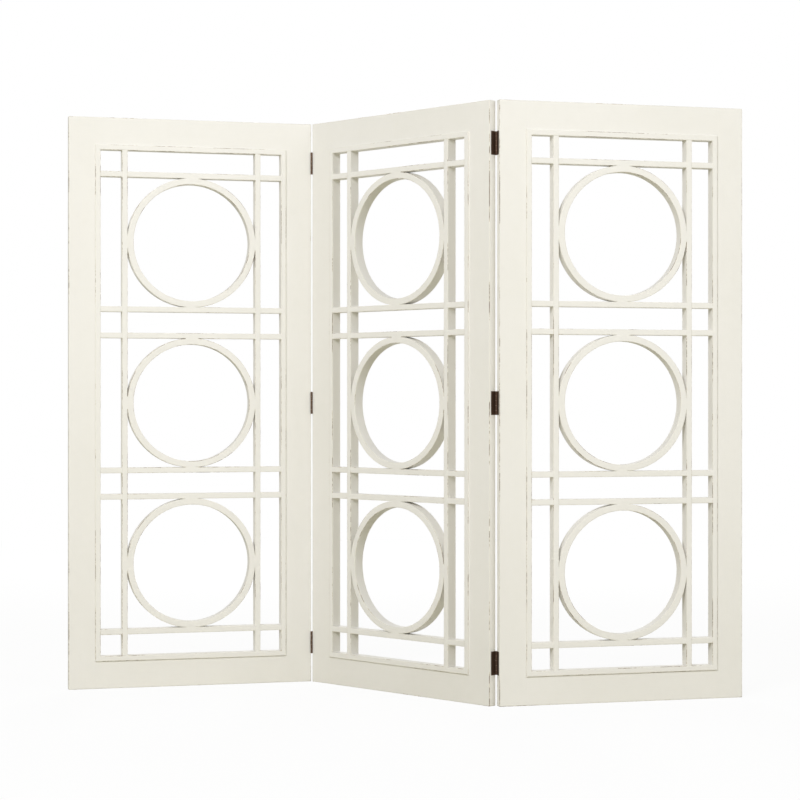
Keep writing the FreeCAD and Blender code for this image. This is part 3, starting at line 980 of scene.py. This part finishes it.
@dataclass
class Panel:
    """One panel: its frame, lining and fretwork, and its half of the hinges."""

    name: str
    turn: float                                 # about Z, in radians
    centre: Vector
    hinged: dict[Side, Face]
    finishes: dict[Finish, bpy.types.Material]
    chance: random.Random
    boards: Boards = Boards()
    lining: Lining = Lining()
    fretwork: Fretwork = Fretwork()
    hinges: Hinges = Hinges()

    @property
    def place(self) -> Matrix:
        """Place of the panel in the shared frame."""
        return Matrix.Translation(self.centre) @ Matrix.Rotation(self.turn, 4, "Z")

    @property
    def half_width(self) -> float:
        """Half the width of the panel."""
        return self.fretwork.half_opening + self.lining.width + self.boards.stile

    @property
    def opening_bottom(self) -> float:
        """Height of the lower edge of the opening in the lining."""
        return self.boards.rail + self.lining.width

    @property
    def height(self) -> float:
        """Height of the panel."""
        return self.fretwork.opening_height + 2 * self.opening_bottom

    def start(self, piece: str, finish: Finish) -> Work:
        """Start a piece of this panel, which has a name of its own and a finish."""
        shift = Vector([self.chance.uniform(0.0, PATTERN_REACH) for _ in range(3)])
        return Work(f"{self.name}_{piece}", self.finishes[finish], finish.value.name, shift)

    def close(self, work: Work, grain: GrainRule) -> None:
        """Write a piece's grain by its rule, and finish it."""
        work.mark_grain(grain)
        work.finish_on(self.name, self.place)

    def build(self) -> None:
        """Build every wooden piece of the panel."""
        for side in Side:
            self.make_stile(side)
            self.make_lining(side)
            self.make_upright(side)
        for end in End:
            self.make_rail(end)
            self.make_lining(end)
        for index, height in enumerate(self.fretwork.crossbar_heights(self.opening_bottom)):
            self.make_crossbar(index, height)
        self.make_rings()

    def make_stile(self, side: Side) -> None:
        """Make one stile, with its gains where it is hinged.

        Args:
            side: Side of the panel.
        """
        boards, sign = self.boards, side.value
        outer, inner = sign * self.half_width, sign * (self.half_width - boards.stile)
        face = boards.thickness / 2
        near = boards.ease + boards.band
        work = self.start(f"{side.name.lower()}_stile", Finish.FRAME)
        work.block((outer, inner), (-face, face), (0.0, self.height))
        work.cut([outer - sign * near], X_AXIS)
        work.cut([near - face, face - near], Y_AXIS)
        work.cut([near, self.height - near], Z_AXIS)
        gains = self.cut_gains(work, side) if side in self.hinged else []
        gained = self.hinged[side].value if gains else 0

        def exposed(middle: Vector, _: BMEdge) -> bool:
            """Whether an edge is an outer arris that no gain takes up."""
            on = [is_at(abs(middle.y), face), is_at(middle.x, outer), is_at(middle.z, 0.0, self.height)]
            return sum(on) == 2 and not (all(on[:2]) and middle.y * gained > 0
                                         and any(low < middle.z < high for low, high in gains))

        work.ease(boards.ease, exposed)
        self.close(work, along_z)

    def cut_gains(self, work: Work, side: Side) -> list[Range]:
        """Sink the gains for the hinge leaves into the edge of a stile.

        Args:
            work: The stile.
            side: Side of the panel.

        Returns:
            Height range of each gain.
        """
        hinges, sign, face = self.hinges, side.value, self.hinged[side].value
        surface = face * self.boards.thickness / 2
        edge = sign * self.half_width
        far = surface - face * (hinges.reach + hinges.fit)
        ranges = [(height - hinges.length / 2 - hinges.fit, height + hinges.length / 2 + hinges.fit)
                  for height in hinges.heights(self.height)]
        floor = edge - sign * hinges.leaf
        work.cut([floor], X_AXIS)
        work.cut([far], Y_AXIS)
        work.cut([place for ends in ranges for place in ends], Z_AXIS)

        def in_gain(middle: Vector) -> bool:
            """Whether a place is within the height and depth of a gain."""
            return (any(low < middle.z < high for low, high in ranges)
                    and (middle.y - far) * face > 0)

        middles = {item: item.calc_center_median() for item in work.mesh.faces}
        patch = [item for item, middle in middles.items() if is_at(middle.x, edge) and in_gain(middle)]
        work.push(patch, X_AXIS * (floor - edge), of_solid=True)
        middles = {item: item.calc_center_median() for item in work.mesh.faces}
        skin = [item for item, middle in middles.items()
                if is_at(middle.y, surface) and in_gain(middle) and (middle.x - floor) * sign > 0]
        bmesh.ops.delete(work.mesh, geom=skin, context="FACES")
        bmesh.ops.remove_doubles(work.mesh, verts=work.mesh.verts, dist=TOUCH)
        return ranges

    def make_rail(self, end: End) -> None:
        """Make one rail, as it shows between the stiles.

        Args:
            end: End of the panel.
        """
        boards = self.boards
        half = self.half_width - boards.stile
        low = 0.0 if end is End.BOTTOM else self.height - boards.rail
        high = low + boards.rail
        outer = low if end is End.BOTTOM else high
        face = boards.thickness / 2
        near = boards.ease + boards.band
        work = self.start(f"{end.name.lower()}_rail", Finish.FRAME)
        work.block((-half, half), (-face, face), (low, high))
        work.cut([near - face, face - near], Y_AXIS)
        work.cut([outer - end.value * near], Z_AXIS)
        work.ease(boards.ease, lambda middle, edge: is_at(abs(middle.y), face)
                  and is_at(middle.z, outer))
        work.crease(boards.joint, lambda normal: abs(normal.x) > ALONG,
                    lambda middle, normal: abs(normal.y) > ACROSS or is_at(middle.z, outer))
        self.close(work, along_x)

    def make_lining(self, at: Union[Side, End]) -> None:
        """Make one piece of the lining, mitred at its ends.

        Args:
            at: Side or end of the opening that it lies along.
        """
        fretwork, lining, half = self.fretwork, self.lining, self.fretwork.bar / 2
        bottom, top = self.opening_bottom, self.height - self.opening_bottom
        if isinstance(at, Side):
            across, along, grain = X_AXIS, Z_AXIS, along_z
            inner = at.value * fretwork.half_opening
            low, high = bottom, top
            stops = fretwork.crossbar_heights(bottom)
        else:
            across, along, grain = Z_AXIS, X_AXIS, along_x
            inner = top if at is End.TOP else bottom
            low, high = -fretwork.half_opening, fretwork.half_opening
            stops = [-fretwork.upright_place, fretwork.upright_place]
        outer = inner + at.value * lining.width
        face, near = fretwork.depth / 2, lining.ease + lining.band
        work = self.start(f"{at.name.lower()}_lining", Finish.LINING)
        corners = [(inner, low), (inner, high), (outer, high + lining.width), (outer, low - lining.width)]
        outline = work.mesh.faces.new([work.mesh.verts.new(across * place + along * reach - Y_AXIS * face)
                                       for place, reach in corners])
        work.push([outline], Y_AXIS * fretwork.depth, of_solid=False)
        bmesh.ops.recalc_face_normals(work.mesh, faces=work.mesh.faces)
        work.cut([inner + at.value * near, outer - at.value * near], across)
        work.cut([near - face, face - near], Y_AXIS)
        work.cut([place + offset for place in stops for offset in (-half, half)], along)

        def exposed(middle: Vector, _: BMEdge) -> bool:
            """Whether an edge is a long arris that no bar meets."""
            met = (is_at(middle.dot(across), inner)
                   and any(abs(middle.dot(along) - place) < half for place in stops))
            return is_at(abs(middle.y), face) and is_at(middle.dot(across), inner, outer) and not met

        work.ease(lining.ease, exposed)
        work.crease(self.boards.joint, lambda normal: min(abs(normal.x), abs(normal.z)) > MITRED,
                    lambda middle, normal: abs(normal.y) > ACROSS)
        self.close(work, grain)

    def make_upright(self, side: Side) -> None:
        """Make one upright, lapped from the back, with its seats for the rings.

        Args:
            side: Side of the panel.
        """
        fretwork, bottom = self.fretwork, self.opening_bottom
        span = (bottom, self.height - bottom)
        crossings = fretwork.crossbar_heights(bottom)
        seats = [(height, side) for height in fretwork.ring_heights(bottom)]
        work = self.start(f"{side.name.lower()}_upright", Finish.BAR)
        fretwork.lay_bar(work, span, crossings, seats, Face.BACK)
        stand = Matrix(((0.0, 0.0, -1.0, side.value * fretwork.upright_place), (0.0, 1.0, 0.0, 0.0),
                        (1.0, 0.0, 0.0, 0.0), (0.0, 0.0, 0.0, 1.0)))
        work.mesh.transform(stand)
        self.close(work, along_z)

    def make_crossbar(self, index: int, height: float) -> None:
        """Make one crossbar, lapped from the front, with its seat for a ring.

        Args:
            index: Number of the crossbar from the bottom up.
            height: Its middle height.
        """
        fretwork = self.fretwork
        span = (-fretwork.half_opening, fretwork.half_opening)
        crossings = [-fretwork.upright_place, fretwork.upright_place]
        seats = [(0.0, Side.LEFT if index % 2 else Side.RIGHT)]
        work = self.start(f"crossbar_{index + 1}", Finish.BAR)
        fretwork.lay_bar(work, span, crossings, seats, Face.FRONT)
        work.mesh.transform(Matrix.Translation(Z_AXIS * height))
        self.close(work, along_x)

    def hang(self, first_knuckle: int) -> None:
        """Make the panel's leaves, one piece per hinged edge, and its screws.

        Args:
            first_knuckle: Number of the lowest knuckle that its leaves have.
        """
        screws = self.start("hinge_screws", Finish.SCREW)
        for side, face in self.hinged.items():
            edge = f"{side.name.lower()}_" if len(self.hinged) > 1 else ""
            leaves = self.start(f"{edge}hinge_leaves", Finish.LEAF)
            for height in self.hinges.heights(self.height):
                spot = self.pivot(side, face) + Z_AXIS * height
                self.hinges.add_leaf(leaves, spot, side, face, first_knuckle)
                self.hinges.add_screws(screws, spot, side, face, self.chance)
            self.hinges.soften(leaves)
            self.close(leaves, along_z)
        self.close(screws, along_z)

    def pivot(self, side: Side, face: Face) -> Vector:
        """Place of the pins on one edge and face of the panel, at its foot, in the panel's frame."""
        return Vector((side.value * (self.half_width + self.hinges.panel_gap / 2),
                       face.value * (self.boards.thickness / 2 + self.hinges.offset), 0.0))

    def make_pins(self) -> None:
        """Make the pins on every hinged edge of the panel as one piece."""
        hinges = self.hinges
        work = Work("hinge_pins", self.finishes[Finish.PIN], Finish.PIN.value.name, ORIGIN)
        radius, half = hinges.pin / 2, hinges.length / 2
        profile = [(0.0, -half), (radius, -half), (radius, half), (0.0, half)]
        for side, face in self.hinged.items():
            for height in hinges.heights(self.height):
                spot = self.pivot(side, face) + Z_AXIS * height
                work.spin(profile, closed=False, steps=hinges.steps, place=Matrix.Translation(spot))
        ends = [height + shift for height in hinges.heights(self.height) for shift in (-half, half)]
        work.ease(hinges.pin_dome, lambda middle, edge: is_at(middle.z, *ends)
                  and edge.calc_face_angle(0.0) > CREASED_ABOVE, segments=hinges.dome_steps)
        self.close(work, along_z)

    def make_rings(self) -> None:
        """Make the rings of the panel as one piece of separate rings."""
        fretwork = self.fretwork
        heights = fretwork.ring_heights(self.opening_bottom)
        outer = fretwork.ring_diameter / 2
        inner = outer - fretwork.ring_band
        work = self.start("rings", Finish.RING)
        for height in heights:
            fretwork.make_ring(work, height)

        def centre_of(point: Vector) -> Vector:
            """Centre of the ring that a point belongs to."""
            return Z_AXIS * min(heights, key=lambda height: abs(height - point.z))

        def exposed(middle: Vector, edge: BMEdge) -> bool:
            """Whether an edge runs round a ring, clear of the bars that the ring is let into.

            Args:
                middle: Middle of the edge.
                edge: The edge.

            Returns:
                Whether it is an exposed arris.
            """
            spokes = [vert.co - centre_of(middle) for vert in edge.verts]
            radius, other_radius = (spoke.xz.length for spoke in spokes)
            clear = max(abs(place) for place in (middle - centre_of(middle)).xz) < fretwork.field / 2
            return (is_at(abs(middle.y), fretwork.depth / 2) and is_at(radius, other_radius)
                    and (is_at(radius, inner) or (is_at(radius, outer) and clear)))

        def around(middle: Vector, corner: Vector) -> Vector:
            """Grain rule of a ring: round it, outwards and through.

            Args:
                middle: Middle of the face.
                corner: Corner of the face.

            Returns:
                The corner's place in the grain, with no seam within the face.
            """
            centre = centre_of(middle)
            start = math.atan2(middle.z - centre.z, middle.x)
            spoke = corner - centre
            turn = math.atan2(spoke.z, spoke.x) - start
            turn = (turn + math.pi) % (2 * math.pi) - math.pi
            return Vector(((start + turn) * outer + centre.z, spoke.xz.length, corner.y))

        work.ease(fretwork.ease, exposed)
        self.close(work, around)


@dataclass(frozen=True)
class Lamp:
    """Square soft lamp that faces a point above the middle of the floor."""

    name: str
    spot: Triple
    aim: float                  # height of that point
    power: float                # in watts
    tint: Colour = WHITE
    in_gloss: bool = True       # whether glossy surfaces show it
    size: float = 3.2

    def build(self) -> None:
        """Add the lamp to the scene."""
        data = bpy.data.lights.new(self.name, "AREA")
        data.shape = "SQUARE"
        data.size = self.size
        data.energy = self.power
        data.color = self.tint
        made = add_object(self.name, data)
        made.location = self.spot
        facing = Z_AXIS * self.aim - Vector(self.spot)
        made.rotation_euler = facing.to_track_quat("-Z", "Y").to_euler()
        made.visible_glossy = self.in_gloss


@dataclass(frozen=True)
class Studio:
    """Plain white studio: floor, soft lamps and the camera of the photograph."""

    eye: Triple = (-1.63287, -6.14656, 0.89806)
    look: float = math.radians(14.87395)        # to the right of straight ahead
    lens: float = 93.344
    sensor: float = 36.0
    far_clip: float = 200.0
    floor_size: float = 60.0
    floor_shown: Colour = (0.88, 0.88, 0.88)
    floor_bounce: Colour = (0.49, 0.465, 0.325)
    floor_glow: float = 0.92                    # the rest shows the shadow
    shadow_ends: Range = (2.0, 7.0)             # distance at which the floor turns plain white
    floor_rough: float = 0.9
    floor_specular: float = 0.1
    room: float = 0.32
    room_tint: Colour = (1.0, 0.975, 0.865)
    lamps: tuple[Lamp, ...] = (Lamp("key", (-4.3, -5.6, 4.6), 1.1, 428.0, LAMP_TINT),
                               Lamp("fill", (3.6, -5.6, 3.0), 0.8, 132.0, LAMP_TINT),
                               Lamp("back", (1.7, 6.6, 2.6), 0.9, 290.0, in_gloss=False))

    def camera(self) -> None:
        """Set up the camera."""
        data = bpy.data.cameras.new("camera")
        data.lens = self.lens
        data.sensor_width = self.sensor
        data.clip_end = self.far_clip
        made = add_object("camera", data)
        made.location = self.eye
        made.rotation_euler = (QUARTER_TURN, 0.0, -self.look)
        bpy.context.scene.camera = made

    def surroundings(self) -> None:
        """Light the room softly, and show it white."""
        world = bpy.data.worlds.new("room")
        bpy.context.scene.world = world
        world.use_nodes = True
        nodes = Nodes(world.node_tree, "ShaderNodeOutputWorld")
        room = nodes.node("ShaderNodeBackground", {}, {"Color": self.room_tint, "Strength": self.room})
        paper = nodes.node("ShaderNodeBackground", {}, {"Color": WHITE, "Strength": 1.0})
        nodes.show(nodes.seen(), room, paper)

    def floor(self) -> None:
        """Lay the floor, which shows white and keeps a faint shadow."""
        mesh = bmesh.new()
        bmesh.ops.create_grid(mesh, x_segments=1, y_segments=1, size=self.floor_size / 2)
        data = bpy.data.meshes.new("floor")
        mesh.to_mesh(data)
        mesh.free()
        made = add_object("floor", data)
        shader = Shader("floor_white")
        seen = shader.seen()
        shader.set(Base_Color=shader.blend(seen, self.floor_bounce, self.floor_shown),
                   Roughness=self.floor_rough, Specular_IOR_Level=self.floor_specular)
        glow = shader.node("ShaderNodeEmission", {}, {"Color": WHITE, "Strength": 1.0})
        distance = shader.node("ShaderNodeVectorMath", {"operation": "LENGTH"}, {0: shader.place()},
                               "Value")
        far = distance.ramp(*self.shadow_ends)
        shader.show(seen * (far * (1.0 - self.floor_glow) + self.floor_glow), shader.principled, glow)
        data.materials.append(shader.material)

    def build(self) -> None:
        """Set up the whole studio."""
        self.camera()
        for lamp in self.lamps:
            lamp.build()
        self.surroundings()
        self.floor()
        bpy.context.scene.view_settings.view_transform = "Standard"


def main() -> None:
    """Build the divider and its studio."""
    logging.basicConfig(level=logging.INFO, format="%(name)s: %(message)s")
    Studio().build()
    finishes = {finish: finish.value.material() for finish in Finish}
    chance = random.Random(SEED)
    middle = Panel("middle_panel", turn=-FOLD, centre=ORIGIN.copy(), finishes=finishes, chance=chance,
                   hinged={Side.LEFT: Face.FRONT, Side.RIGHT: Face.BACK})
    middle.build()
    middle.hang(first_knuckle=0)
    middle.make_pins()
    for side, face in middle.hinged.items():
        other = Side.RIGHT if side is Side.LEFT else Side.LEFT
        centre = middle.place @ middle.pivot(side, face) - middle.pivot(other, face)
        panel = Panel(f"{side.name.lower()}_panel", turn=0.0, centre=centre, finishes=finishes,
                      chance=chance, hinged={other: face})
        panel.build()
        panel.hang(first_knuckle=1)
    kept = [name for name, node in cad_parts.items() if not node.hide_render]
    log.info("nodes that keep their CAD shape: %s", ", ".join(kept) or "none")


if __name__ == "__main__":
    main()
